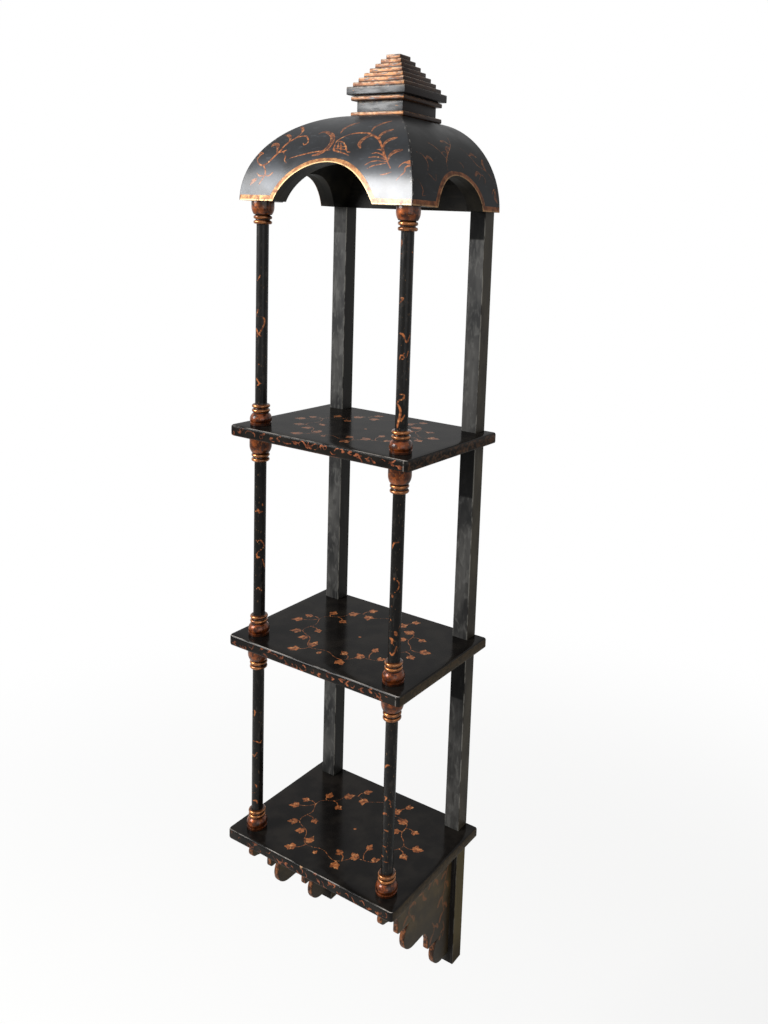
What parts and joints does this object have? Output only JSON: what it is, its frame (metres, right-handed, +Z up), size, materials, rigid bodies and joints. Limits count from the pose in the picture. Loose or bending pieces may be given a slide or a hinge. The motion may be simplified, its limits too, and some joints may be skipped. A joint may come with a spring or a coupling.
{
  "type": "wall display shelf",
  "caption": "Tall black lacquered wall shelf with copper ornament: open tiers on turned columns and back posts, a mitred dome with arches and a stepped finial, and scalloped brackets below.",
  "frame": {"origin": "midway between the entry holes of the two hanger plates, on the wall plane", "axes": "+X to the viewer's right, +Y out of the back into the wall, +Z up"},
  "size_m": [0.316, 0.217, 1.3962],
  "materials": {
    "black_lacquer": "gloss black lacquer with painted copper scrolls",
    "post_black": "worn satin black paint",
    "copper_black": "antiqued copper paint over black lacquer",
    "beech": "bare wood",
    "steel": "zinc plated"
  },
  "bodies": {
    "root": {"shelf_top": "black_lacquer", "shelf_middle": "black_lacquer", "shelf_bottom": "black_lacquer", "post_left": "post_black", "post_right": "post_black", "column_top_left": "copper_black", "column_top_right": "copper_black", "column_middle_left": "copper_black", "column_middle_right": "copper_black", "column_bottom_left": "copper_black", "column_bottom_right": "copper_black", "bracket_left": "post_black", "bracket_right": "post_black", "dome_front": "copper_black", "dome_left": "copper_black", "dome_right": "copper_black", "dome_back_board": "post_black", "dome_crown_block": "black_lacquer", "finial_base": "copper_black", "finial_neck": "black_lacquer", "finial_fillet": "copper_black", "finial_slab": "black_lacquer", "finial_step_1": "copper_black", "finial_step_2": "copper_black", "finial_step_3": "copper_black", "finial_step_4": "copper_black", "finial_step_5": "copper_black", "finial_step_6": "copper_black", "finial_step_7": "copper_black", "finial_dowel": "beech", "shelf_dowels_long": "beech", "shelf_dowels_short": "beech", "crown_dowels": "beech", "mitre_dowels": "beech", "back_board_dowels": "beech", "shelf_screws": "steel", "bracket_screws": "steel", "hanger_screws": "steel", "hanger_plate_left": "steel", "hanger_plate_right": "steel"}
  },
  "joints": []
}
